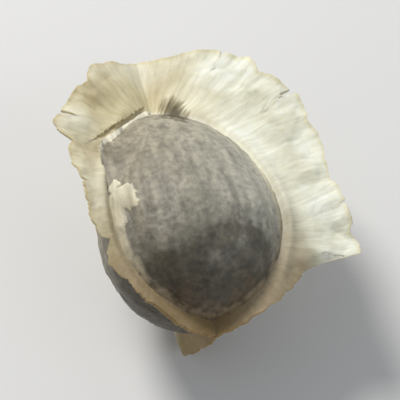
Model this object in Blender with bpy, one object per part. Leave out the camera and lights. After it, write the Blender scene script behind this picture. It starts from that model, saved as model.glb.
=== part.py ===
"""A winged moringa seed lying on a surface.

The hull is round with three blunt angles. Three papery wings run from end to end along those angles and meet at both
ends. One hull face looks up between two wings, and the third wing is folded flat under the seed, which rests on it.
Y runs along the seed, from its round dark end at -Y to its pale end at +Y. Lengths below are in millimetres.
"""

import bpy
import bmesh
from math import cos, exp, pi, radians, sin
from mathutils import Vector

MM = 0.001

HULL_LENGTH = 14.4
HULL_RADIUS = 5.3  # mean radius where the hull is widest
WIDEST_AT = -2.0  # place along Y, counted from the middle of the hull
END_TAPER = 1.3  # 1 is a half ellipse; more draws the pale end in
ANGLE_SHARE = 0.045  # how far the three angles stand out, as a share of the radius
RIDGE_HEIGHT = 0.25  # the fine ridge along each angle, where a wing grows out
RIDGE_WIDTH = radians(7.0)
DENT_DEPTH = 0.07
AXIS_HEIGHT = 7.4  # height of the seed's axis over the surface

LEFT_RIB = radians(138.0)  # where each wing grows out, turned from +X towards +Z
RIB_STEP = radians(120.0)

BLADE = 0.6  # thickness of a wing
WING_GAP = 0.3  # clear space between the hull and a wing's root
OVERLAP = 0.1  # how far each wing runs past the axis at the seed's ends
FOLD_RADIUS = 0.5  # of the bend where the lowest wing turns on to the surface
FLAT_RUN = 3.8  # width of that wing which lies flat, before its edge curls up
EDGE_RADIUS = 3.5  # of that upward curl
SPOT_CORNERS = [(-0.7, -5.0), (2.6, 0.4), (-0.7, 5.2)]  # X from the axis and Y, of the flat spot that the seed lies on
SPOT_RISE = 0.08  # how steeply the folded wing rises away from that spot
ROWS_ALONG = 46

HULL_ROWS = 28
HULL_COLUMNS = 48

# Outer edge of each wing, pressed flat: share of the way round the hull's end-to-end outline, place along Y from the
# middle of the hull, and distance from the axis.
LEFT_EDGE = [
    (0.00, -8.3, -OVERLAP),
    (0.09, -8.1, 1.9),
    (0.25, -6.6, 4.8),
    (0.40, -4.1, 6.6),
    (0.52, -1.6, 7.0),
    (0.64, 2.0, 7.4),
    (0.745, 5.6, 7.9),
    (0.90, 11.0, 3.6),
    (0.95, 11.5, 1.8),
    (1.00, 11.6, -OVERLAP),
]
RIGHT_EDGE = [
    (0.00, -8.4, -OVERLAP),
    (0.10, -8.1, 2.0),
    (0.22, -7.2, 4.6),
    (0.29, -6.1, 6.2),
    (0.335, -6.1, 9.4),
    (0.42, -3.6, 9.4),
    (0.60, 1.4, 9.8),
    (0.72, 5.2, 9.4),
    (0.82, 8.4, 7.6),
    (0.90, 10.6, 5.2),
    (0.96, 11.4, 2.6),
    (1.00, 11.6, -OVERLAP),
]
UNDER_EDGE = [
    (0.00, -8.2, -OVERLAP),
    (0.10, -7.9, 1.9),
    (0.21, -7.0, 4.8),
    (0.30, -5.8, 7.9),
    (0.40, -4.3, 10.7),
    (0.54, -0.2, 12.4),
    (0.70, 4.6, 11.5),
    (0.80, 8.0, 8.6),
    (0.90, 10.4, 4.4),
    (1.00, 11.5, -OVERLAP),
]

# Tears in each outer edge: place on the outline, half width on the outline, and share of the wing's width torn away.
LEFT_TEARS = [(0.46, 0.030, 0.30), (0.70, 0.022, 0.16), (0.86, 0.025, 0.12)]
RIGHT_TEARS = [(0.37, 0.022, 0.12), (0.52, 0.026, 0.16), (0.66, 0.020, 0.09), (0.78, 0.028, 0.18)]
UNDER_TEARS = [(0.30, 0.030, 0.18), (0.46, 0.024, 0.14), (0.64, 0.030, 0.22), (0.78, 0.024, 0.12)]


def heading(angle):
    """Unit direction in the plane across the seed."""
    return Vector((cos(angle), 0.0, sin(angle)))


def off_rib(angle):
    """Smallest turn from the nearest of the three angles."""
    turn = (angle - LEFT_RIB) % RIB_STEP
    return min(turn, RIB_STEP - turn)


def hull_place(way, angle):
    """Place along Y and radius of the hull's surface; way runs from 0 at the round end to pi at the pale end."""
    if way < pi / 2:
        reach, swell = HULL_LENGTH / 2 + WIDEST_AT, sin(way)
    else:
        reach, swell = HULL_LENGTH / 2 - WIDEST_AT, sin(way) ** END_TAPER
    along = WIDEST_AT - reach * cos(way)
    angled = 1 + ANGLE_SHARE * cos(3 * (angle - LEFT_RIB))
    ridge = RIDGE_HEIGHT * exp(-((off_rib(angle) / RIDGE_WIDTH) ** 2))
    dent = DENT_DEPTH * sin(2 * angle + 0.9 * along) * cos(0.7 * along - angle) * (1 - exp(-off_rib(angle) * 4))
    return along, swell * (HULL_RADIUS * angled + ridge + dent)


def root_place(way):
    """Place along Y and distance from the axis of a wing's root, a clear gap outside the hull's angle."""
    step = 0.01
    before = hull_place(max(way - step, 0.0), LEFT_RIB)
    after = hull_place(min(way + step, pi), LEFT_RIB)
    along, out = hull_place(way, LEFT_RIB)
    run = Vector((after[0] - before[0], after[1] - before[1])).normalized()
    if way == 0 or way == pi:
        run = Vector((0.0, 1.0 if way == 0 else -1.0))
    return along - WING_GAP * run.y, out + WING_GAP * run.x


def edge_place(edge, share):
    """Point of an outline at a share of its way, on straight lines between its points."""
    for (s0, y0, h0), (s1, y1, h1) in zip(edge, edge[1:]):
        if share <= s1:
            part = (share - s0) / (s1 - s0)
            return y0 + part * (y1 - y0), h0 + part * (h1 - h0)
    return edge[-1][1:]


def torn(tears, share):
    """Share of the wing's width that is left at this place of its edge."""
    left = 1.0
    for place, half, depth in tears:
        left -= depth * max(0.0, 1 - abs(share - place) / half)
    return left


def curled(root, rib, reach, curl):
    """Point reach away from the root, on an arc that starts straight out and turns by curl over its length."""
    if abs(curl) < 1e-6:
        return root + heading(rib) * reach
    return root + (heading(rib + curl - pi / 2) - heading(rib - pi / 2)) * (reach / curl)


def folded(root, rib, reach):
    """Point reach away from the root, on a path that drops to the surface, lies flat towards +X and curls up."""
    turn = 2 * pi - rib
    level = root.z - FOLD_RADIUS * (1 - sin(rib + pi / 2)) - BLADE / 2
    drop = level / -sin(rib)
    if reach <= drop:
        return root + heading(rib) * reach
    centre = root + heading(rib) * drop + heading(rib + pi / 2) * FOLD_RADIUS
    swept = (reach - drop) / FOLD_RADIUS
    if swept <= turn:
        return centre + heading(rib - pi / 2 + swept) * FOLD_RADIUS
    flat = reach - drop - turn * FOLD_RADIUS
    past = max(0.0, flat - FLAT_RUN) / EDGE_RADIUS
    point = centre + Vector((min(flat, FLAT_RUN), 0, -FOLD_RADIUS))
    return point + Vector((sin(past), 0, 1 - cos(past))) * EDGE_RADIUS


def wing_sheet(rib, edge, tears, columns, swing, lean=0.0, curl=0.0, wave=0.0, waves=2.5, fold=False):
    """Middle surface of a wing, as rows of points from its root out to its edge.

    The wing leaves its rib leaning by lean, and by swing to and fro between the ends. A folded wing lies down on the
    surface, and any other turns by curl on its way out and is waved by wave.
    """
    rows = []
    for i in range(ROWS_ALONG + 1):
        share = i / ROWS_ALONG
        root_along, root_out = root_place(pi * share)
        if i in (0, ROWS_ALONG):
            root_out = -OVERLAP
        edge_along, edge_out = edge_place(edge, share)
        kept = torn(tears, share)
        middle = sin(pi * share)
        row = []
        for j in range(columns + 1):
            t = kept * j / columns
            along = root_along + t * (edge_along - root_along)
            reach = t * (edge_out - root_out)
            root = heading(rib) * root_out + Vector((0, 0, AXIS_HEIGHT))
            way_out = rib + lean * middle + swing * sin(2 * pi * share)
            if fold:
                point = folded(root, way_out, reach)
            else:
                bend = curl * middle * t
                point = curled(root, way_out, reach, bend)
                lift = wave * middle * t * t * sin(2 * pi * waves * share + 1.0)
                point += heading(way_out + bend + pi / 2) * lift
            point.y = along
            row.append(point)
        rows.append(row)
    return rows


def sheet_normals(rows):
    """Unit normal of the sheet at each of its points, from its neighbours along and across."""
    normals = []
    last_row, last_column = len(rows) - 1, len(rows[0]) - 1
    for i in range(last_row + 1):
        line = []
        for j in range(last_column + 1):
            along = rows[min(i + 1, last_row)][j] - rows[max(i - 1, 0)][j]
            across = rows[i][min(j + 1, last_column)] - rows[i][max(j - 1, 0)]
            line.append(across.cross(along).normalized())
        normals.append(line)
    return normals


def make_blade(name, rows):
    """Closed blade round a sheet: both faces are split into the same triangles."""
    normals = sheet_normals(rows)
    bm = bmesh.new()
    faces = []
    for side in (1, -1):
        faces.append([
            [bm.verts.new((p + n * (side * BLADE / 2)) * MM) for p, n in zip(row, line)]
            for row, line in zip(rows, normals)
        ])
    top, under = faces
    last_row, last_column = len(rows) - 1, len(rows[0]) - 1
    for i in range(last_row):
        for j in range(last_column):
            for grid, turned in ((top, False), (under, True)):
                a, b, c, d = grid[i][j], grid[i][j + 1], grid[i + 1][j + 1], grid[i + 1][j]
                for corners in ((a, b, c), (a, c, d)):
                    bm.faces.new(corners[::-1] if turned else corners)
    border = [(i, 0) for i in range(last_row)]
    border += [(last_row, j) for j in range(last_column)]
    border += [(i, last_column) for i in range(last_row, 0, -1)]
    border += [(0, j) for j in range(last_column, 0, -1)]
    for (i, j), (k, m) in zip(border, border[1:] + border[:1]):
        bm.faces.new((top[i][j], top[k][m], under[k][m]))
        bm.faces.new((top[i][j], under[k][m], under[i][j]))
    bmesh.ops.recalc_face_normals(bm, faces=bm.faces)
    return new_object(name, bm)


def rise_from_spot(blade):
    """Leaves a three-cornered flat spot under the folded wing, and lets the wing rise gently all round it."""
    flat = [v.co for v in blade.data.vertices if v.co.z < 0.0001 * MM]
    corners = []
    for place in SPOT_CORNERS:
        wanted = Vector(place) * MM
        corners.append(min(flat, key=lambda co: (co.xy - wanted).length).xy)
    sides = list(zip(corners, corners[1:] + corners[:1]))
    for v in blade.data.vertices:
        beyond = max((v.co.xy - a).cross((b - a).normalized()) for a, b in sides)
        near_surface = min(1.0, max(0.0, 1 - (v.co.z / MM - BLADE)))
        v.co.z += SPOT_RISE * max(0.0, beyond) * near_surface


def make_hull():
    """The hull: rings of points from end to end, closed by a fan at each end."""
    bm = bmesh.new()
    rings = []
    for i in range(1, HULL_ROWS):
        way = pi * i / HULL_ROWS
        ring = []
        for j in range(HULL_COLUMNS):
            angle = LEFT_RIB + 2 * pi * j / HULL_COLUMNS
            along, out = hull_place(way, angle)
            point = heading(angle) * out + Vector((0, along, AXIS_HEIGHT))
            ring.append(bm.verts.new(point * MM))
        rings.append(ring)
    for ring, after in zip(rings, rings[1:]):
        for j in range(HULL_COLUMNS):
            k = (j + 1) % HULL_COLUMNS
            bm.faces.new((ring[j], ring[k], after[k], after[j]))
    for ring, end in ((rings[0], -HULL_LENGTH / 2), (rings[-1], HULL_LENGTH / 2)):
        tip = bm.verts.new(Vector((0, end, AXIS_HEIGHT)) * MM)
        for j in range(HULL_COLUMNS):
            bm.faces.new((tip, ring[j], ring[(j + 1) % HULL_COLUMNS]))
    bmesh.ops.recalc_face_normals(bm, faces=bm.faces)
    return new_object("hull", bm)


def new_object(name, bm):
    mesh = bpy.data.meshes.new(name)
    bm.to_mesh(mesh)
    bm.free()
    mesh.shade_smooth()
    mesh.set_sharp_from_angle(angle=radians(40))
    obj = bpy.data.objects.new(name, mesh)
    bpy.context.scene.collection.objects.link(obj)
    return obj


def make_wings():
    """The three wings, joined where they meet at both ends of the seed."""
    left = make_blade("wings", wing_sheet(
        LEFT_RIB, LEFT_EDGE, LEFT_TEARS, columns=6, swing=radians(5), curl=radians(28), wave=0.35))
    right = make_blade("wing_right", wing_sheet(
        LEFT_RIB - RIB_STEP, RIGHT_EDGE, RIGHT_TEARS, columns=8, swing=radians(-6), curl=radians(-24), wave=0.5))
    under = make_blade("wing_under", wing_sheet(
        LEFT_RIB + RIB_STEP, UNDER_EDGE, UNDER_TEARS, columns=16, swing=radians(7), lean=radians(-15), fold=True))
    rise_from_spot(under)
    others = bpy.data.collections.new("other_wings")
    bpy.context.scene.collection.children.link(others)
    for blade in (right, under):
        others.objects.link(blade)
    union = left.modifiers.new("union", "BOOLEAN")
    union.operation = "UNION"
    union.operand_type = "COLLECTION"
    union.collection = others
    bpy.context.view_layer.objects.active = left
    bpy.ops.object.modifier_apply(modifier=union.name)
    for blade in (right, under):
        bpy.data.objects.remove(blade, do_unlink=True)
    bpy.data.collections.remove(others)
    return left


def paint(obj, name, colour, roughness):
    material = bpy.data.materials.new(name)
    material.use_nodes = True
    shader = material.node_tree.nodes["Principled BSDF"]
    shader.inputs["Base Color"].default_value = (*colour, 1)
    shader.inputs["Roughness"].default_value = roughness
    shader.inputs["Metallic"].default_value = 0.0
    obj.data.materials.clear()
    obj.data.materials.append(material)


def centre_on_origin(objects):
    """Moves the meshes so that the middle of their common box stands over the origin."""
    points = [v.co for obj in objects for v in obj.data.vertices]
    middle = [(min(p[k] for p in points) + max(p[k] for p in points)) / 2 for k in range(2)]
    for obj in objects:
        for v in obj.data.vertices:
            v.co.x -= middle[0]
            v.co.y -= middle[1]


for old in list(bpy.data.objects):
    bpy.data.objects.remove(old, do_unlink=True)

hull = make_hull()
wings = make_wings()
centre_on_origin([hull, wings])
paint(hull, "seed_coat", (0.12, 0.105, 0.08), 0.62)
paint(wings, "wing_paper", (0.62, 0.55, 0.40), 0.75)
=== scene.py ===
# %% [markdown]
# # A winged moringa seed
# A moringa tree drops its seeds from long pods. Each seed is a round, hard hull with three papery wings that run from
# end to end, so that it spins as it falls. The solids of one dry seed are loaded first, as a frame that never moves.
# Everything below is a finer skin that is laid where those solids are.

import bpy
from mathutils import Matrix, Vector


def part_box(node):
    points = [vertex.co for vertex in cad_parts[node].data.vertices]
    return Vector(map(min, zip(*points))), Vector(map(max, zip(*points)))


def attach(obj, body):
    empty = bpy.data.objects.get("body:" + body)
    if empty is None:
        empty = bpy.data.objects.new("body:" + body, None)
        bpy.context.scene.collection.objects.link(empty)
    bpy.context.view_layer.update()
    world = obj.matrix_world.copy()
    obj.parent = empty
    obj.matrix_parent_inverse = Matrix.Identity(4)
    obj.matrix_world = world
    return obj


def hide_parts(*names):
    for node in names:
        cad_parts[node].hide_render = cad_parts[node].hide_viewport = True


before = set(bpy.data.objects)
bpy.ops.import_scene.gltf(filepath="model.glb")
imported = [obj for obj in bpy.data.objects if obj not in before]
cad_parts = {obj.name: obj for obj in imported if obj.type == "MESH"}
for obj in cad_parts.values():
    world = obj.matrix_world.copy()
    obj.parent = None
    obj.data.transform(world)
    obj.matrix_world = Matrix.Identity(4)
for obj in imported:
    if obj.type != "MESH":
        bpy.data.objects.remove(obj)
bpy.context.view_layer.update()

from math import cos, exp, pi, radians, sin

import bmesh
import bpy
from mathutils import Vector, noise

MM = 0.001
print("solids:", sorted(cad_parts))

# %% [markdown]
# ## The camera and the floor
# The seed is looked at from above its round end, a little from the left, so that one hull face shows between two
# wings and the third wing is under it. The camera stands far off for the seed's size, which keeps the near wing from
# looking too large. The floor is a plain pale sheet that reaches past every view.

# %% Camera
AZIMUTH = radians(-15)
ELEVATION = radians(60)
DISTANCE = 0.072
LOOK_AT = Vector((0.0, 0.0, 0.0058))

toward_camera = Vector((
    sin(AZIMUTH) * cos(ELEVATION),
    -cos(AZIMUTH) * cos(ELEVATION),
    sin(ELEVATION),
))
lens = bpy.data.cameras.new("seed_camera")
lens.lens = 105
lens.clip_start = 0.001
camera = bpy.data.objects.new("seed_camera", lens)
bpy.context.scene.collection.objects.link(camera)
camera.location = LOOK_AT + toward_camera * DISTANCE
camera.rotation_euler = (-toward_camera).to_track_quat("-Z", "Y").to_euler()
bpy.context.scene.camera = camera
print("camera at mm:", [round(c / MM, 1) for c in camera.location])

# %% Floor
bpy.ops.object.select_all(action="DESELECT")
bpy.ops.mesh.primitive_plane_add(size=4.0, location=(0, 0, 0))
floor = bpy.context.object
floor.name = "floor"
floor_paper = bpy.data.materials.new("floor_paper")
floor_paper.use_nodes = True
floor_shader = floor_paper.node_tree.nodes["Principled BSDF"]
floor_shader.inputs["Base Color"].default_value = (0.72, 0.72, 0.71, 1)
floor_shader.inputs["Roughness"].default_value = 0.9
floor.data.materials.append(floor_paper)
print("floor is", round(floor.dimensions.x, 1), "m wide")

# %% [markdown]
# ## The light
# A broad lamp above and behind the pale end is the main light, as from a window. It leaves the round end of the hull
# in half shade and lets the thin wings glow. A weaker one in front opens that shade, and the world gives the rest. A
# small lamp or a sun would draw hard shadows, which hide the creases of thin paper.

# %% Lamps and world
def add_lamp(name, place, size, power, colour):
    """An area lamp that faces the seed; power in watts, small because the lamp stands so near."""
    lamp = bpy.data.lights.new(name, "AREA")
    lamp.shape = "DISK"
    lamp.size = size
    lamp.energy = power
    lamp.color = colour
    obj = bpy.data.objects.new(name, lamp)
    bpy.context.scene.collection.objects.link(obj)
    obj.location = place
    obj.rotation_euler = (LOOK_AT - Vector(place)).to_track_quat("-Z", "Y").to_euler()
    return obj


add_lamp("window_lamp", (-0.06, 0.14, 0.20), 0.09, 0.50, (1.0, 0.98, 0.95))
add_lamp("front_lamp", (0.16, -0.16, 0.14), 0.20, 0.09, (0.95, 0.97, 1.0))

world = bpy.data.worlds.new("pale_room")
world.use_nodes = True
world.node_tree.nodes["Background"].inputs["Color"].default_value = (0.93, 0.95, 1.0, 1)
world.node_tree.nodes["Background"].inputs["Strength"].default_value = 0.38
bpy.context.scene.world = world
bpy.context.scene.view_settings.view_transform = "Standard"

# %% [markdown]
# ## Where the seed lies
# The seed's numbers are the ones that its solids were made from, in millimetres. The seed's axis isn't the middle of
# the hull's box, because three angles don't reach equally far each way. So the hull's widest ring is measured here,
# and the axis is placed where that ring fills the box of the hull's solid.

# %% The hull's outline
HULL_LENGTH = 14.4
HULL_RADIUS = 5.3
WIDEST_AT = -2.0
END_TAPER = 1.3
ANGLE_SHARE = 0.045
RIDGE_HEIGHT = 0.25
RIDGE_WIDTH = radians(7.0)
LEFT_RIB = radians(138.0)
RIB_STEP = radians(120.0)
ROUND_REACH = HULL_LENGTH / 2 + WIDEST_AT
PALE_REACH = HULL_LENGTH / 2 - WIDEST_AT


def heading(angle):
    """Unit direction in the plane across the seed, turned from +X towards +Z."""
    return Vector((cos(angle), 0.0, sin(angle)))


def off_rib(angle):
    """Smallest turn from the nearest of the three angles of the hull."""
    turn = (angle - LEFT_RIB) % RIB_STEP
    return min(turn, RIB_STEP - turn)


def girth(turn):
    """Radius of the hull's widest ring, at a turn away from an angle."""
    ridge = RIDGE_HEIGHT * exp(-((turn / RIDGE_WIDTH) ** 2))
    return HULL_RADIUS * (1 + ANGLE_SHARE * cos(3 * turn)) + ridge


ring = [heading(radians(d)) * girth(off_rib(radians(d))) * MM for d in range(360)]
hull_low, hull_high = (Vector(corner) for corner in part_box("hull"))
hull_middle = (hull_low + hull_high) / 2
axis = Vector((
    hull_middle.x - (min(p.x for p in ring) + max(p.x for p in ring)) / 2,
    hull_middle.y,
    hull_middle.z - (min(p.z for p in ring) + max(p.z for p in ring)) / 2,
))
print("middle of the seed's axis in mm:", [round(c / MM, 2) for c in axis])

# %% [markdown]
# ## Helpers for work on a mesh
# An operator works on whatever is selected, and loading left the solids selected. One helper selects a single object
# and another picks points in edit mode. A third pushes a surface in and out by a soft random pattern, which is how
# every dent, wrinkle and pit below is made.

# %% Select, pick and push
def take(obj):
    """Select one object only, and make it active."""
    bpy.ops.object.select_all(action="DESELECT")
    obj.select_set(True)
    bpy.context.view_layer.objects.active = obj


def pick(obj, wanted):
    """In edit mode, select the points whose number is wanted and no others."""
    mesh = bmesh.from_edit_mesh(obj.data)
    for v in mesh.verts:
        v.select = v.index in wanted
    bmesh.update_edit_mesh(obj.data, loop_triangles=False, destructive=False)


def push(obj, kind, grain_mm, strength_mm, group="", **settings):
    """Push the surface along its normals by a random pattern of one grain, and apply it."""
    pattern = bpy.data.textures.new("push_" + kind.lower(), kind)
    pattern.noise_scale = grain_mm * MM
    for name, value in settings.items():
        setattr(pattern, name, value)
    bump = obj.modifiers.new("push", "DISPLACE")
    bump.texture = pattern
    bump.texture_coords = "LOCAL"
    bump.strength = strength_mm * MM
    bump.mid_level = 0.5
    bump.vertex_group = group
    take(obj)
    bpy.ops.object.modifier_apply(modifier=bump.name)
    bpy.data.textures.remove(pattern)


# %% [markdown]
# ## The hull
# The hull is a hard, dry coat, round at one end and drawn in at the other, with three blunt angles. It could be spun
# from a profile, but a spun shape has no angles. Here a ball is added at the hull's width with its poles along the
# seed. Each half is stretched to its length, the rings of the pale half are narrowed towards its tip, and the lines
# from pole to pole are drawn out or in to make the angles.

# %% Add the ball and sort its points into rings and lines
SPOKES = 240
RINGS = 150

widest = axis + Vector((0, WIDEST_AT * MM, 0))
bpy.ops.object.select_all(action="DESELECT")
bpy.ops.mesh.primitive_uv_sphere_add(
    segments=SPOKES, ring_count=RINGS, radius=HULL_RADIUS * MM, location=widest, rotation=(pi / 2, 0, 0))
hull = bpy.context.object
hull.name = hull.data.name = "hull_coat"
bpy.ops.object.transform_apply(location=True, rotation=True, scale=True)

rings, lines = {}, {}
for v in hull.data.vertices:
    away = v.co - widest
    along = max(-1.0, min(1.0, away.y / (HULL_RADIUS * MM)))
    rings.setdefault(round(along, 4), set()).add(v.index)
    if abs(along) < 0.9999:
        angle = Vector((away.x, away.z)).angle_signed(Vector((1, 0)))
        lines.setdefault(round(off_rib(angle), 3), set()).add(v.index)
print("rings:", len(rings), "kinds of line:", len(lines))

# %% Stretch the two halves, narrow the pale end and draw out the angles
take(hull)
bpy.ops.object.mode_set(mode="EDIT")
bpy.ops.mesh.select_mode(type="VERT")
for side, reach in ((-1, ROUND_REACH), (1, PALE_REACH)):
    half = set().union(*(points for along, points in rings.items() if along * side > 0))
    pick(hull, half)
    bpy.ops.transform.resize(value=(1, reach / HULL_RADIUS, 1), center_override=widest)
for along, points in rings.items():
    if 0 < along < 0.9999:
        narrow = ((1 - along * along) ** 0.5) ** (END_TAPER - 1)
        pick(hull, points)
        bpy.ops.transform.resize(value=(narrow, 1, narrow), center_override=widest)
for turn, points in lines.items():
    drawn = girth(turn) / HULL_RADIUS
    pick(hull, points)
    bpy.ops.transform.resize(value=(drawn, 1, drawn), center_override=widest)
bpy.ops.object.mode_set(mode="OBJECT")
print("hull in mm:", [round(d / MM, 2) for d in hull.dimensions])

# %% [markdown]
# ### The hull's skin
# A dry hull isn't smooth. It has shallow dents from shrinking, wrinkles, and a skin of tiny pits. They could be
# carved by hand. Here each is a random pattern of its own grain, the coarse ones first, so that the fine ones lie on
# them.

# %% Dents, wrinkles and pits
push(hull, "CLOUDS", 3.2, 0.30, noise_depth=1)
push(hull, "CLOUDS", 0.9, 0.12, noise_depth=2)
push(hull, "VORONOI", 0.5, 0.05)
push(hull, "CLOUDS", 0.22, 0.05, noise_depth=1)
print("hull with its dents in mm:", [round(d / MM, 2) for d in hull.dimensions])

# %% [markdown]
# ### Scraps of torn wing on the hull
# The angles and both ends keep pale scraps of the papery wing, and on the left side a torn piece of the wing lies flat
# over the hull. Scraps could be separate sheets, but they cling so closely that they look like a change of colour. So
# each point's share of paper is worked out from its place and kept in a point attribute, which the finish reads later.
# Only the torn piece is raised as well, by about its own thickness.

# %% Work out each point's share of paper
SCRAP_WIDTH = 0.7
TORN_WIDTH = 1.5  # how far the torn piece reaches over the hull
TORN_START = (-3.0, -1.0)
TORN_STOP = (-0.2, 2.0)
BARE_FROM = (2.0, 2.8)  # from here to the pale end, the left angle has no scraps
BARE_WIDTH = 3.0
PALE_TIP = (5.4, 2.2)  # where the paper round a tip starts, and over what length it becomes whole
ROUND_TIP = (6.4, 1.5)


def within(value, start, end):
    """Nothing before the start, all after the end, and a smooth change between them."""
    part = min(1.0, max(0.0, (value - start) / (end - start)))
    return part * part * (3 - 2 * part)


scraps, torn_parts = [], []
for v in hull.data.vertices:
    away = (v.co - axis) / MM
    angle = Vector((away.x, away.z)).angle_signed(Vector((1, 0)))
    out = Vector((away.x, away.z)).length
    beside = exp(-((out * off_rib(angle) / SCRAP_WIDTH) ** 2))
    from_left = out * (LEFT_RIB - angle)
    if abs(from_left) < BARE_WIDTH:
        beside *= 1 - within(away.y, *BARE_FROM)
    ragged = 0.7 * noise.noise(away * 0.9) + 0.35 * noise.noise(away * 3.2) + 0.25 * noise.noise(away * 9)
    torn_width = TORN_WIDTH * within(away.y, *TORN_START) * (1 - within(away.y, *TORN_STOP)) * (1 + ragged)
    torn = within(torn_width - from_left, 0.0, 0.14) if from_left > 0 else 0.0
    pale_tip = max(0.0, (away.y - PALE_TIP[0]) / PALE_TIP[1])
    round_tip = max(0.0, (-away.y - ROUND_TIP[0]) / ROUND_TIP[1])
    scraps.append(min(1.0, beside + torn + pale_tip + round_tip))
    torn_parts.append(torn)
hull.data.attributes.new("paper_scraps_and_hem_highlight", "FLOAT", "POINT").data.foreach_set("value", scraps)
print("points with paper on them:", sum(share > 0.5 for share in scraps), "of", len(scraps))


# %% Raise the torn piece
def raise_part(obj, name, parts, height_mm, direction="NORMAL"):
    """Raise each point by its own part of a height, and apply it."""
    group = obj.vertex_groups.new(name=name)
    for index, part in enumerate(parts):
        group.add([index], part, "REPLACE")
    raised = obj.modifiers.new(name, "DISPLACE")
    raised.direction = direction
    raised.strength = height_mm * MM
    raised.mid_level = 0.0
    raised.vertex_group = name
    take(obj)
    bpy.ops.object.modifier_apply(modifier=raised.name)


TORN_THICKNESS = 0.12
raise_part(hull, "torn_piece", torn_parts, TORN_THICKNESS)
bpy.ops.object.shade_smooth()
print("hull with the torn piece in mm:", [round(d / MM, 2) for d in hull.dimensions])

# %% [markdown]
# ## The wings
# Each wing is a sheet as thin as onion skin that grows out of one angle of the hull. It could be drawn out of the hull
# strip by strip. A flat grid is simpler: every row of the grid becomes one strip of paper from the hull to the wing's
# torn edge, and every column runs from end to end. The same rule that shaped the solid's wings says where each strip
# starts, how far it reaches and how it bends, so the thin wings lie inside the thick ones.

# %% The line where a wing grows out of the hull
SINK = 0.1  # how deep a wing's root sits in the hull
OVERLAP = 0.1


def rib_place(way):
    """Place along the seed and distance from its axis, on an angle of the hull."""
    reach, swell = (ROUND_REACH, sin(way)) if way < pi / 2 else (PALE_REACH, sin(way) ** END_TAPER)
    return Vector((WIDEST_AT - reach * cos(way), swell * girth(0.0)))


def root_place(share):
    """The same line, sunk a little into the hull.

    The share runs from 0 at the round end to 1 at the pale end.
    """
    way = pi * share
    run = (rib_place(min(way + 0.01, pi)) - rib_place(max(way - 0.01, 0.0))).normalized()
    spot = rib_place(way) + Vector((run.y, -run.x)) * SINK
    return spot.x, (spot.y if 0.004 < share < 0.996 else -OVERLAP)


print("a wing's root, place and distance from the axis in mm:")
for share in (0.0, 0.25, 0.5, 0.75, 1.0):
    print("  ", share, [round(number, 2) for number in root_place(share)])


# %% [markdown]
# ### The outlines of the wings
# Each outline is a short list: a share of the way from the round end to the pale end, the place along the seed, and
# the distance from the axis. A drawn curve would do as well, but a list is easier to read and to change. Tears are a
# place, a half width and a depth. Between the large tears the edge is frayed by a fine random line, because dry paper
# never breaks straight.

# %% Outlines, tears and the frayed edge
LEFT_EDGE = [
    (0.00, -8.3, -OVERLAP), (0.09, -8.1, 1.9), (0.25, -6.6, 4.8), (0.40, -4.1, 6.6), (0.52, -1.6, 7.0),
    (0.64, 2.0, 7.4), (0.745, 5.6, 7.9), (0.90, 11.0, 3.6), (0.95, 11.5, 1.8), (1.00, 11.6, -OVERLAP),
]
RIGHT_EDGE = [
    (0.00, -8.4, -OVERLAP), (0.10, -8.1, 2.0), (0.22, -7.2, 4.6), (0.29, -6.1, 6.2), (0.335, -6.1, 9.4),
    (0.42, -3.6, 9.4), (0.60, 1.4, 9.8), (0.72, 5.2, 9.4), (0.82, 8.4, 7.6), (0.90, 10.6, 5.2),
    (0.96, 11.4, 2.6), (1.00, 11.6, -OVERLAP),
]
UNDER_EDGE = [
    (0.00, -8.2, -OVERLAP), (0.10, -7.9, 1.9), (0.21, -7.0, 4.8), (0.30, -5.8, 7.9), (0.40, -4.3, 10.7),
    (0.54, -0.2, 12.4), (0.70, 4.6, 11.5), (0.80, 8.0, 8.6), (0.90, 10.4, 4.4), (1.00, 11.5, -OVERLAP),
]
LEFT_TEARS = [(0.46, 0.030, 0.30), (0.70, 0.022, 0.16), (0.86, 0.025, 0.12), (0.61, 0.005, 0.20), (0.77, 0.006, 0.30)]
RIGHT_TEARS = [
    (0.375, 0.018, 0.07), (0.52, 0.030, 0.05), (0.66, 0.024, 0.04), (0.80, 0.030, 0.07),
    (0.445, 0.004, 0.13), (0.735, 0.005, 0.20), (0.88, 0.005, 0.12),
]
UNDER_TEARS = [
    (0.30, 0.030, 0.18), (0.46, 0.024, 0.14), (0.64, 0.030, 0.22), (0.78, 0.024, 0.12),
    (0.39, 0.005, 0.10), (0.555, 0.006, 0.18), (0.71, 0.005, 0.15),
]
FRAY = 0.13  # mean depth of the frayed edge
print("tears:", len(LEFT_TEARS), len(RIGHT_TEARS), len(UNDER_TEARS))


def edge_place(edge, share):
    """Point of an outline at a share of its way."""
    for (s0, y0, h0), (s1, y1, h1) in zip(edge, edge[1:]):
        if share <= s1:
            part = (share - s0) / (s1 - s0)
            return y0 + part * (y1 - y0), h0 + part * (h1 - h0)
    return edge[-1][1:]


def kept_width(tears, share, seed, width):
    """Share of a strip that the tears and the fraying leave."""
    left = 1.0
    for place, half, depth in tears:
        left -= depth * max(0.0, 1 - abs(share - place) / half)
    rough = 1 + noise.noise((share * 38, seed, 0.0)) + abs(noise.noise((share * 110, seed, 4.0)))
    return left - min(0.25, FRAY * rough / width)


# %% [markdown]
# ### How a strip bends
# The left and right wings leave the hull along its angle and turn on an even arc. The third wing drops to the
# surface, bends round, lies flat towards the right and curls up at its edge. A modifier could bend a flat sheet, but
# it doesn't know where the surface is, so the path of a strip is worked out from arcs and straight runs.

# %% The path of one strip
FOLD_RADIUS = 0.5
FLAT_RUN = 3.8
EDGE_RADIUS = 3.5
SHEET_LEVEL = 0.12  # height of the flat part's middle over the surface


def arc(start, angle, reach, turn):
    """Point a reach away from the start, on an arc that leaves at an angle and turns evenly."""
    if abs(turn) < 1e-6:
        return start + heading(angle) * reach
    return start + (heading(angle + turn - pi / 2) - heading(angle - pi / 2)) * (reach / turn)


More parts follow.
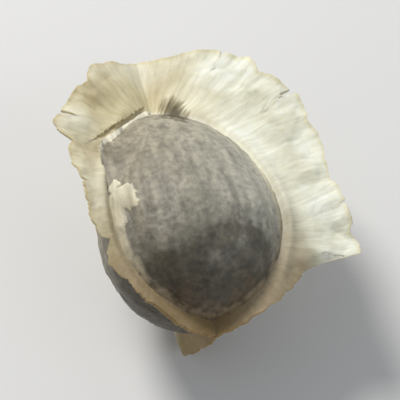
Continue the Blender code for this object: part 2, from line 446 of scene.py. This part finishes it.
def folded(start, angle, reach):
    """Point a reach away from the start, on the path of the wing that lies under the seed."""
    turn = 2 * pi - angle
    drop = (start.z - FOLD_RADIUS * (1 - sin(angle + pi / 2)) - SHEET_LEVEL) / -sin(angle)
    if reach <= drop:
        return start + heading(angle) * reach
    centre = start + heading(angle) * drop + heading(angle + pi / 2) * FOLD_RADIUS
    swept = (reach - drop) / FOLD_RADIUS
    if swept <= turn:
        return centre + heading(angle - pi / 2 + swept) * FOLD_RADIUS
    flat = reach - drop - turn * FOLD_RADIUS
    past = max(0.0, flat - FLAT_RUN) / EDGE_RADIUS
    point = centre + Vector((min(flat, FLAT_RUN), 0, -FOLD_RADIUS))
    return point + Vector((sin(past), 0, 1 - cos(past))) * EDGE_RADIUS


print("the folded path, from 5 mm above the surface straight down, in mm:")
for reach in (0.0, 4.0, 6.0, 8.0, 12.0):
    print("  ", reach, [round(number, 2) for number in folded(Vector((0, 0, 5)), 1.5 * pi, reach)])


# %% [markdown]
# ### What one strip does on its way out
# Dry paper doesn't follow the plain path. Beside the hull it has a raised seam, further out it waves between fine
# folds, and its outermost part curls over. All of that is added to the path as a small lift, which fades towards both
# ends of the seed, because the paper is short there.

# %% One point of a strip
PLEAT = 0.8  # how far the edge waves in and out between fine folds
LIP = 1.8  # how far the outermost paper curls over
LIP_START = 0.6
SEAM = 0.28  # height of the raised line beside the hull
SEAM_PLACE = 0.55
SEAM_WIDTH = 0.28


def strip_point(
        rib, seed, share, t, reach, width, swing, lean=0.0, curl=0.0, wave=0.0, ruffle=1.0, side=1, fold=False):
    """A point on one strip, a reach out from the hull, before it is moved to its place along the seed."""
    middle = sin(pi * share)
    start = heading(rib) * root_place(share)[1] + Vector((0, 0, axis.z / MM))
    way_out = rib + lean * middle + swing * sin(2 * pi * share)
    room = ruffle * min(1.0, width / 6.0)
    pleat = PLEAT * room * t * middle * noise.noise((share * 22, seed, 8.0))
    curled = (max(0.0, t - LIP_START) / (1 - LIP_START)) ** 2
    lip = LIP * room * middle * curled * noise.noise((share * 6, seed, 5.0))
    if fold:
        point = folded(start, way_out, reach)
        point.z += abs(pleat + lip)
        return point
    turn = curl * middle * t
    seam = SEAM * middle * exp(-(((reach - SEAM_PLACE) / SEAM_WIDTH) ** 2))
    lift = wave * middle * t * t * sin(5 * pi * share + 1.0) + pleat + lip + side * seam
    return arc(start, way_out, reach, turn) + heading(way_out + turn + pi / 2) * lift


# %% [markdown]
# ### Laying a wing
# The grid's own map of its surface, its UV map, stays on it as it is laid. The fibres in the paper follow that
# map. Two point groups say how loose the paper is, nothing at the hull and all at the edge, and how stout
# it is, the other way round. The crumples use the first and the wall's thickness uses the second. Point attributes
# keep how far out each point lies, its share of the seed's length, and how far the paper has browned, which is most
# near the round end and beside the hull.

# %% Lay a grid as a wing
STRIPS = 300
LOOSE_AT = 3.0  # this far out the paper is wholly loose
STOUT_TO = 1.6  # this far out it is no longer stout
BROWN_FADE = (5.8, 7.4)


def lay_wing(name, rib, edge, tears, columns, seed, brown_run=(-0.5, 7.4), **bend):
    """A new sheet whose rows are strips of paper from the hull to the wing's edge."""
    bpy.ops.object.select_all(action="DESELECT")
    bpy.ops.mesh.primitive_grid_add(x_subdivisions=columns, y_subdivisions=STRIPS, size=1.0, calc_uvs=True)
    sheet = bpy.context.object
    sheet.name = sheet.data.name = name
    loose = sheet.vertex_groups.new(name="loose")
    stout = sheet.vertex_groups.new(name="stout")
    parts = [v.co.x + 0.5 for v in sheet.data.vertices]
    shares = [v.co.y + 0.5 for v in sheet.data.vertices]
    browned = []
    for v, part, share in zip(sheet.data.vertices, parts, shares):
        root_along, root_out = root_place(share)
        edge_along, edge_out = edge_place(edge, share)
        width = Vector((edge_along - root_along, edge_out - root_out)).length
        t = part * kept_width(tears, share, seed, max(width, 0.5))
        along = root_along + t * (edge_along - root_along)
        reach = t * (edge_out - root_out)
        point = strip_point(rib, seed, share, t, reach, width, **bend)
        v.co = (point + Vector((axis.x / MM, axis.y / MM + along, 0))) * MM
        browned.append(within(-along, *brown_run) * (1 - within(root_out + reach, *BROWN_FADE)))
        loose.add([v.index], min(1.0, max(0.0, reach / LOOSE_AT)), "REPLACE")
        stout.add([v.index], max(0.0, 1 - reach / STOUT_TO), "REPLACE")
    for kind, values in (("outward", parts), ("lengthwise", shares), ("browned", browned)):
        sheet.data.attributes.new(kind, "FLOAT", "POINT").data.foreach_set("value", values)
    return sheet


# %% [markdown]
# ### Crumples and thickness
# Paper that dried on a seed is crumpled: flat facets between sharp creases, with finer wrinkles on them. A pattern of
# cells gives the facets, since its borders are sharp, and a cloud pattern gives the wrinkles. The sheet then gets its
# thickness, stout where it leaves the hull and as thin as skin at the edge.

# %% Crumple and thicken a wing
PAPER = 0.24  # thickness at the hull
THIN_SHARE = 0.5
PRESSED = 0.2  # paper lower than this is pressed flat on the surface


def crumple_wing(sheet, crumple=1.0):
    """Crumple a sheet, and press its lowest part flat on the surface."""
    take(sheet)
    bpy.ops.object.mode_set(mode="EDIT")
    bpy.ops.mesh.select_all(action="SELECT")
    bpy.ops.mesh.remove_doubles(threshold=0.002 * MM)
    bpy.ops.mesh.normals_make_consistent(inside=False)
    bpy.ops.object.mode_set(mode="OBJECT")
    push(sheet, "CLOUDS", 3.5, 0.9 * crumple, "loose", noise_depth=1)
    push(sheet, "VORONOI", 2.6, 0.8 * crumple, "loose", weight_1=-1.0, weight_2=1.0)
    push(sheet, "VORONOI", 1.1, 0.22 * crumple, "loose", weight_1=1.0)
    push(sheet, "CLOUDS", 0.6, 0.12 * crumple, "loose", noise_depth=2)
    low = {v.index for v in sheet.data.vertices if v.co.z < PRESSED * MM}
    bpy.ops.object.mode_set(mode="EDIT")
    pick(sheet, low)
    bpy.ops.transform.resize(value=(1, 1, 0), center_override=(0, 0, PAPER * THIN_SHARE / 2 * MM))
    bpy.ops.object.mode_set(mode="OBJECT")


def thicken_wing(sheet):
    """Give a sheet its wall, thinner where it is less stout."""
    wall = sheet.modifiers.new("paper", "SOLIDIFY")
    wall.thickness = PAPER * MM
    wall.offset = 0.0
    wall.vertex_group = "stout"
    wall.thickness_vertex_group = THIN_SHARE
    take(sheet)
    bpy.ops.object.modifier_apply(modifier=wall.name)
    bpy.ops.object.shade_smooth_by_angle(angle=radians(50))
    print(sheet.name, "in mm:", [round(d / MM, 2) for d in sheet.dimensions], "faces:", len(sheet.data.polygons))


# %% [markdown]
# ### The three wings
# The left wing is narrow beside the hull and widest at the pale end. The right wing is broad all along. The third
# lies folded under the hull and carries it, so it is crumpled only half as much, to keep its fold clean.

# %% Lay and crumple the three wings
wing_left = lay_wing(
    "wing_left", LEFT_RIB, LEFT_EDGE, LEFT_TEARS, columns=44,
    swing=radians(5), seed=1.5, curl=radians(28), wave=0.35, side=-1, brown_run=(-3.5, 7.0))
wing_right = lay_wing(
    "wing_right", LEFT_RIB - RIB_STEP, RIGHT_EDGE, RIGHT_TEARS, columns=60,
    swing=radians(-6), seed=7.5, curl=radians(-24), wave=0.5, ruffle=0.5)
wing_under = lay_wing(
    "wing_under", LEFT_RIB + RIB_STEP, UNDER_EDGE, UNDER_TEARS, columns=110,
    swing=radians(7), seed=12.5, lean=radians(-15), fold=True)
for sheet in (wing_left, wing_right):
    crumple_wing(sheet)
crumple_wing(wing_under, crumple=0.5)

# %% [markdown]
# ### The doubled paper beside the pale end
# Beside the pale end the left wing is doubled over on itself, and the doubled paper stops along a straight edge beside
# the hull. A new sheet wouldn't follow the crumples under it. So the crumpled wing is copied, lifted most along that
# edge and hardly at all towards its ends, and cut straight with a bisect.

# %% Lift and cut the doubled paper
HEM_LINE = (Vector((-5.46, 1.94, 11.03)), Vector((-1.53, 5.60, 8.00)))  # where the hull's coat will end in a hem
GAP = 0.74  # from the line to the doubled paper
DOUBLED_START = (0.70, 0.77)  # shares of the seed's length
DOUBLED_STOP = (0.93, 0.975)
DOUBLED_LIFT = 0.26
LIFT_FADE = 1.3

up_left = toward_camera.cross(HEM_LINE[1] - HEM_LINE[0]).normalized()
take(wing_left)
bpy.ops.object.duplicate()
wing_doubled = bpy.context.object
wing_doubled.name = wing_doubled.data.name = "wing_doubled"
shares = [number.value for number in wing_doubled.data.attributes["lengthwise"].data]
pasts = [(v.co / MM - HEM_LINE[0]).dot(up_left) - GAP for v in wing_doubled.data.vertices]
spare, lifts = set(), []
for index, (share, past) in enumerate(zip(shares, pasts)):
    if not DOUBLED_START[0] < share < DOUBLED_STOP[1] or past < -1:
        spare.add(index)
    free = within(share, *DOUBLED_START) * (1 - within(share, *DOUBLED_STOP))
    lifts.append(0.01 + free * (0.06 + 0.93 * exp(-max(0.0, past) / LIFT_FADE)))
raise_part(wing_doubled, "lift", lifts, DOUBLED_LIFT, direction="Z")
bpy.ops.object.mode_set(mode="EDIT")
pick(wing_doubled, spare)
bpy.ops.mesh.delete(type="VERT")
bpy.ops.mesh.select_all(action="SELECT")
bpy.ops.mesh.bisect(plane_co=(HEM_LINE[0] + up_left * GAP) * MM, plane_no=up_left, clear_inner=True)
bpy.ops.object.mode_set(mode="OBJECT")
print("doubled paper:", len(wing_doubled.data.polygons), "faces")

# %% Thicken the sheets
wing_sheets = (wing_left, wing_right, wing_under, wing_doubled)
for sheet in wing_sheets:
    thicken_wing(sheet)

# %% [markdown]
# ## The bright ridge
# Across a narrow dark gap from the doubled paper, a flap of the hull's coat stands up beside the left angle, and its
# hem is a bright straight ridge. It could be pulled out of the hull's mesh, but the hull's points are too far apart
# for so thin a lip. So a small grid is laid from the hull's face to the line of the ridge. It leaves the face along
# the face's own slope, so that the coat seems to run on, and its last columns turn outwards as the hem. Both its ends
# sink into the hull.

# %% Lay the flap of coat
FLAP_TURNS = (0.45, 0.12)  # from the left angle to the flap's root and to its bend
FLAP_SHARES = (0.54, 0.975)
LOW_END = 0.2  # the part of the flap that rises from the hull
HIGH_END = 0.93  # where it starts to sink back
ROOT_DEPTH = 0.16
HIGH_DEPTH = 0.3
BEND_RISE = 0.52
HEM_RISE = 0.25
HEM_START = 0.8
HEM_WIDTH = 0.31
HEM_TURN = 0.12


def over_hull(share, turn, above):
    """A point above the hull, at a share of its length and a turn from its left angle."""
    along, out = rib_place(pi * share)
    return axis / MM + Vector((0, along, 0)) + heading(LEFT_RIB - turn) * (out * girth(turn) / girth(0.0) + above)


bpy.ops.object.select_all(action="DESELECT")
bpy.ops.mesh.primitive_grid_add(x_subdivisions=30, y_subdivisions=110, size=1.0, calc_uvs=True)
coat_flap = bpy.context.object
coat_flap.name = coat_flap.data.name = "coat_flap"
hem_paper_and_highlight = []
for v in coat_flap.data.vertices:
    out, run = v.co.x + 0.5, v.co.y + 0.5
    share = FLAP_SHARES[0] + run * (FLAP_SHARES[1] - FLAP_SHARES[0])
    root = over_hull(share, FLAP_TURNS[0], -ROOT_DEPTH)
    bend = over_hull(share, FLAP_TURNS[1], -ROOT_DEPTH + BEND_RISE * within(run, 0.0, 0.5))
    crest = HEM_LINE[0].lerp(HEM_LINE[1], max(0.0, run - LOW_END) / (1 - LOW_END)) + toward_camera * HEM_RISE
    crest = over_hull(FLAP_SHARES[0], 0.0, -ROOT_DEPTH).lerp(crest, min(1.0, run / LOW_END))
    crest = crest.lerp(over_hull(FLAP_SHARES[1], 0.0, -HIGH_DEPTH), within(run, HIGH_END, 1.0))
    rough = 0.08 * noise.noise((run * 7, out * 3, 2.0)) + 0.05 * noise.noise((run * 36, out * 9, 6.0))
    climb = min(1.0, out / HEM_START)
    turned = max(0.0, out - HEM_START) / (1 - HEM_START)
    hem = up_left * HEM_WIDTH * turned - toward_camera * HEM_TURN * turned * turned
    point = root.lerp(bend, climb).lerp(bend.lerp(crest, climb), climb) + toward_camera * climb * rough
    v.co = (point + hem * within(run, LOW_END, LOW_END + 0.06)) * MM
    # The hem gets the pale paper colour, partly as a painted highlight along the ridge.
    hem_paper_and_highlight.append(max(0.4 * within(out, 0.1, 0.6), within(out + rough, 0.68, 0.84)) * within(run, 0.1, 0.2))
coat_flap.data.attributes.new("paper_scraps_and_hem_highlight", "FLOAT", "POINT").data.foreach_set("value", hem_paper_and_highlight)

# %% Give the flap its wall
FLAP_WALL = 0.14

wall = coat_flap.modifiers.new("wall", "SOLIDIFY")
wall.thickness = FLAP_WALL * MM
wall.offset = 0.0
take(coat_flap)
bpy.ops.object.modifier_apply(modifier=wall.name)
bpy.ops.object.shade_smooth_by_angle(angle=radians(50))
print("flap of coat in mm:", [round(d / MM, 2) for d in coat_flap.dimensions])

# %% [markdown]
# ## Finishes
# A finish is a small graph of patterns that ends in one shader. A helper adds a node, sets its values by the names of
# its sockets and joins its inputs, so that each finish below reads as a list.

# %% Helpers for finishes
def new_finish(name):
    """An empty finish, and its shader."""
    finish = bpy.data.materials.new(name)
    finish.use_nodes = True
    return finish, finish.node_tree.nodes["Principled BSDF"]


def add(finish, kind, values=None, joins=None, **settings):
    """A new node; values are set on its sockets, and joins say which output feeds which socket."""
    node = finish.node_tree.nodes.new(kind)
    for name, value in settings.items():
        setattr(node, name, value)
    for name, value in (values or {}).items():
        node.inputs[name].default_value = value
    for name, output in (joins or {}).items():
        finish.node_tree.links.new(output, node.inputs[name])
    return node


def ramp(finish, factor, stops):
    """Colours along a factor, as pairs of a place and a colour."""
    node = add(finish, "ShaderNodeValToRGB", joins={"Fac": factor})
    points = node.color_ramp.elements
    while len(points) < len(stops):
        points.new(0.5)
    for point, (place, colour) in zip(points, stops):
        point.position = place
        point.color = (*colour, 1)
    return node.outputs["Color"]


def blend(finish, kind, factor, first, second):
    """Two colours mixed; the factor is an output or a number."""
    node = add(finish, "ShaderNodeMix", data_type="RGBA", blend_type=kind)
    for socket, source in ((0, factor), (6, first), (7, second)):
        if isinstance(source, (int, float, tuple)):
            node.inputs[socket].default_value = source
        else:
            finish.node_tree.links.new(source, node.inputs[socket])
    return node.outputs[2]


# %% [markdown]
# ### Painted shade of a hollow at the pale end
# Where the pale end meets the broad wing, a dark brown patch is painted as the shade of a hollow; the shape has no
# hollow there. It crosses coat and paper, so both finishes darken inside the same long, tilted egg of space. Each
# one's own fibres fray its edge.

# %% Paint the shade of the hollow
# A dark brown patch painted as the shade of a hollow, which the shape doesn't have.
HOLLOW_SHADE = (-0.33, 4.7, 8.75)
HOLLOW_SHADE_SIZE = (1.8, 4.5, 2.3)
HOLLOW_SHADE_TILT = radians(-47)
HOLLOW_SHADE_FRAY = 0.7


def paint_hollow_shade(finish, place, colour, fibres):
    """Multiply a colour by a painted brown shade inside the hollow; fibres is a pattern that frays its edge."""
    centred = add(
        finish, "ShaderNodeMapping", vector_type="TEXTURE", joins={"Vector": place},
        values={
            "Location": [c * MM for c in HOLLOW_SHADE],
            "Rotation": (HOLLOW_SHADE_TILT, 0, 0),
            "Scale": [s * MM for s in HOLLOW_SHADE_SIZE],
        })
    distance = add(finish, "ShaderNodeVectorMath", operation="LENGTH", joins={0: centred.outputs[0]})
    frayed = add(
        finish, "ShaderNodeMath", operation="MULTIPLY_ADD", joins={0: fibres, 2: distance.outputs["Value"]})
    frayed.inputs[1].default_value = HOLLOW_SHADE_FRAY
    shade = ramp(finish, frayed.outputs[0], [
        (0.60, (0.20, 0.18, 0.14)),
        (0.78, (0.50, 0.47, 0.40)),
        (0.95, (1, 1, 1)),
    ])
    return blend(finish, "MULTIPLY", 1.0, colour, shade)


# %% [markdown]
# ### The hull's finish
# The coat is a dull grey brown, almost black at the round end and pale grey at the other, where part of the paleness
# is painted sheen. It is browner at its left side, and at its right a painted sheen makes it lighter and bluer. A
# painted picture would need the surface to be unfolded. Here ramps along and across the seed give the colours, and
# clouds make their borders uneven.

# %% Colours along and across the hull
coat, coat_shader = new_finish("seed_coat_finish")
place = add(coat, "ShaderNodeTexCoord").outputs["Object"]
split = add(coat, "ShaderNodeSeparateXYZ", joins={0: place})
lengthwise = add(
    coat, "ShaderNodeMapRange", joins={"Value": split.outputs["Y"]},
    values={"From Min": hull_low.y, "From Max": hull_high.y})
blotch = add(
    coat, "ShaderNodeTexNoise", values={"Scale": 420.0, "Detail": 4.0, "Roughness": 0.6}, joins={"Vector": place})
uneven = add(coat, "ShaderNodeMath", operation="MULTIPLY_ADD", joins={0: blotch.outputs["Fac"]})
uneven.inputs[1].default_value = 0.55
uneven.inputs[2].default_value = -0.275
along_seed = add(coat, "ShaderNodeMath", operation="ADD", joins={0: lengthwise.outputs[0], 1: uneven.outputs[0]})
# Colours from the round end to the pale end; the lighter stops towards the pale end are partly painted sheen.
brown_and_sheen = ramp(coat, along_seed.outputs[0], [
    (0.00, (0.115, 0.086, 0.054)),
    (0.06, (0.083, 0.072, 0.050)),
    (0.17, (0.112, 0.104, 0.080)),
    (0.24, (0.205, 0.198, 0.165)),
    (0.42, (0.335, 0.322, 0.268)),
    (0.76, (0.380, 0.358, 0.288)),
])
crosswise = add(
    coat, "ShaderNodeMapRange", joins={"Value": split.outputs["X"]},
    values={"From Min": -4 * MM, "From Max": 4 * MM})
# Painted sheen makes the right side lighter and bluer; the left side is browner.
side_tint_and_sheen = ramp(coat, crosswise.outputs[0], [
    (0.0, (0.82, 0.78, 0.72)),
    (0.45, (1, 1, 1)),
    (1.0, (1.38, 1.42, 1.50)),
])
brown_and_sheen = blend(coat, "MULTIPLY", 1.0, brown_and_sheen, side_tint_and_sheen)

# %% [markdown]
# ### Specks and fibres in the coat
# Close up, the coat has fine specks, and short fibres that run from end to end. The fibres are the same kind of noise
# as the specks, drawn out along the seed by a small scale on that axis. Both also make the finest relief.

# %% Specks and fibres
speck = add(coat, "ShaderNodeTexNoise", values={"Scale": 3200.0, "Detail": 3.0}, joins={"Vector": place})
speckle = ramp(coat, speck.outputs["Fac"], [(0.35, (0.62, 0.62, 0.62)), (0.62, (1.25, 1.23, 1.18))])
brown_and_sheen = blend(coat, "MULTIPLY", 0.5, brown_and_sheen, speckle)
fibre_place = add(coat, "ShaderNodeMapping", values={"Scale": (1.0, 0.12, 1.0)}, joins={"Vector": place})
fibre = add(
    coat, "ShaderNodeTexNoise", values={"Scale": 1900.0, "Detail": 3.0}, joins={"Vector": fibre_place.outputs[0]})
streaks = ramp(coat, fibre.outputs["Fac"], [(0.36, (0.60, 0.59, 0.57)), (0.60, (1.22, 1.21, 1.17))])
brown_and_sheen = blend(coat, "MULTIPLY", 0.6, brown_and_sheen, streaks)
relief = add(coat, "ShaderNodeMath", operation="ADD", joins={0: speck.outputs["Fac"], 1: fibre.outputs["Fac"]})
coat_bump = add(
    coat, "ShaderNodeBump", values={"Strength": 0.7, "Distance": 0.06 * MM}, joins={"Height": relief.outputs[0]})
coat.node_tree.links.new(coat_bump.outputs[0], coat_shader.inputs["Normal"])

# %% Paper scraps on the coat, and its gloss
# This attribute also holds the flap's pale hem, which is partly a painted highlight.
near_scrap = add(coat, "ShaderNodeAttribute", attribute_name="paper_scraps_and_hem_highlight")
patchy = add(
    coat, "ShaderNodeMath", operation="MULTIPLY", joins={0: near_scrap.outputs["Fac"], 1: fibre.outputs["Fac"]})
patch = ramp(coat, patchy.outputs[0], [(0.22, (0, 0, 0)), (0.42, (1, 1, 1))])
scrap_colour = ramp(coat, lengthwise.outputs[0], [
    (0.02, (0.22, 0.17, 0.11)),
    (0.24, (0.38, 0.34, 0.25)),
    (0.42, (0.55, 0.50, 0.36)),
    (0.62, (0.80, 0.77, 0.62)),
])
scrap_colour = blend(coat, "MULTIPLY", 0.7, scrap_colour, streaks)
coat_colour = blend(coat, "MIX", patch, brown_and_sheen, scrap_colour)
# Painted shade of the hollow at the pale end, on the coat.
coat_colour = paint_hollow_shade(coat, place, coat_colour, fibre.outputs["Fac"])
coat.node_tree.links.new(coat_colour, coat_shader.inputs["Base Color"])
coat_shader.inputs["Roughness"].default_value = 0.5
coat_shader.inputs["Specular IOR Level"].default_value = 0.4
for piece in (hull, coat_flap):
    piece.data.materials.append(coat)
print("nodes in the coat's finish:", len(coat.node_tree.nodes))

# %% [markdown]
# ### The wings' finish
# The wings are cream paper with cloudy stains, almost white on the broad wing, partly from bleaching and partly from
# painted sheen. The cream could be one flat colour, but paper that dried on a seed is never even. Fine fibres fan out
# from the hull. They follow the map of each sheet, squeezed along the seed, so that the noise is drawn out into
# streaks.

# %% Cream, bleached paper with painted sheen, and fibres
paper, paper_shader = new_finish("wing_paper_finish")
sources = add(paper, "ShaderNodeTexCoord")
streak_place = add(
    paper, "ShaderNodeMapping", values={"Scale": (2.2, 90.0, 1.0), "Rotation": (0, 0, radians(2))},
    joins={"Vector": sources.outputs["UV"]})
streak = add(
    paper, "ShaderNodeTexNoise", values={"Scale": 1.0, "Detail": 5.0, "Roughness": 0.65, "Distortion": 0.4},
    joins={"Vector": streak_place.outputs[0]})
cloudy = add(
    paper, "ShaderNodeTexNoise", values={"Scale": 330.0, "Detail": 4.0}, joins={"Vector": sources.outputs["Object"]})
cream = ramp(paper, cloudy.outputs["Fac"], [
    (0.30, (0.56, 0.50, 0.35)),
    (0.48, (0.70, 0.66, 0.50)),
    (0.70, (0.81, 0.79, 0.67)),
])
stain = add(
    paper, "ShaderNodeTexNoise", values={"Scale": 130.0, "Detail": 2.0}, joins={"Vector": sources.outputs["Object"]})
stained = ramp(paper, stain.outputs["Fac"], [(0.40, (0.86, 0.81, 0.68)), (0.58, (1, 1, 1))])
cream = blend(paper, "MULTIPLY", 1.0, cream, stained)
# Towards the broad wing the paper turns almost white and a little green: partly bleached, partly painted sheen.
bleach_and_sheen = ramp(paper, cloudy.outputs["Fac"], [
    (0.30, (0.60, 0.59, 0.47)),
    (0.48, (0.76, 0.765, 0.65)),
    (0.70, (0.88, 0.89, 0.80)),
])
spread = add(paper, "ShaderNodeSeparateXYZ", joins={0: sources.outputs["Object"]})
rightward = add(
    paper, "ShaderNodeMapRange", joins={"Value": spread.outputs["X"]},
    values={"From Min": -1 * MM, "From Max": 3 * MM})
cream = blend(paper, "MIX", rightward.outputs[0], cream, bleach_and_sheen)
streaky = ramp(paper, streak.outputs["Fac"], [(0.30, (0.72, 0.70, 0.64)), (0.62, (1.10, 1.10, 1.08))])
cream = blend(paper, "MULTIPLY", 0.6, cream, streaky)

# %% [markdown]
# ### Where a wing is lighter or darker
# A wing is palest where it grows out of the hull, darker at its torn edge, and brown near the round end. Those places
# follow the sheet and not the space round it, so they are read from the attributes that each sheet was laid with.

# %% Pale seam, dark rim and browned end
outward = add(paper, "ShaderNodeAttribute", attribute_name="outward")
seam_light = ramp(paper, outward.outputs["Fac"], [(0.02, (0.8, 0.8, 0.8)), (0.12, (0, 0, 0))])
cream = blend(paper, "MIX", seam_light, cream, (0.90, 0.88, 0.78, 1))
rim_dark = ramp(paper, outward.outputs["Fac"], [(0.93, (0, 0, 0)), (1.0, (1, 1, 1))])
cream = blend(paper, "MULTIPLY", rim_dark, cream, (0.88, 0.82, 0.68, 1))
near_end = add(paper, "ShaderNodeAttribute", attribute_name="browned")
browned = ramp(paper, near_end.outputs["Fac"], [
    (0.0, (1, 1, 1)),
    (0.4, (0.64, 0.61, 0.55)),
    (1.0, (0.50, 0.41, 0.32)),
])
cream = blend(paper, "MULTIPLY", 1.0, cream, browned)
# Painted shade of the hollow at the pale end, on the paper.
paper_colour = paint_hollow_shade(paper, sources.outputs["Object"], cream, streak.outputs["Fac"])
paper.node_tree.links.new(paper_colour, paper_shader.inputs["Base Color"])

# %% [markdown]
# ### Light in the paper
# Thin paper isn't solid to light. A little light sinks in and comes out close by, warmer than it went in, which makes
# the wings look soft against the dull hull. Clear glass would let too much through.

# %% Light, gloss and relief of the paper
paper_shader.inputs["Roughness"].default_value = 0.72
paper_shader.inputs["Specular IOR Level"].default_value = 0.3
paper_shader.inputs["Subsurface Weight"].default_value = 0.35
paper_shader.inputs["Subsurface Radius"].default_value = (1.0, 0.8, 0.5)
paper_shader.inputs["Subsurface Scale"].default_value = 0.4 * MM
paper_bump = add(
    paper, "ShaderNodeBump", values={"Strength": 0.6, "Distance": 0.05 * MM}, joins={"Height": streak.outputs["Fac"]})
paper.node_tree.links.new(paper_bump.outputs[0], paper_shader.inputs["Normal"])
for sheet in wing_sheets:
    sheet.data.materials.append(paper)
print("nodes in the paper's finish:", len(paper.node_tree.nodes))

# %% [markdown]
# ## Joining the skin to the frame
# Each finished piece rides on the seed's one body, and the solid that it covers is hidden.

# %% Ride the body and hide the solids
for piece in (hull, coat_flap):
    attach(piece, "root")
    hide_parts("hull")
for sheet in wing_sheets:
    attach(sheet, "root")
    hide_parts("wings")
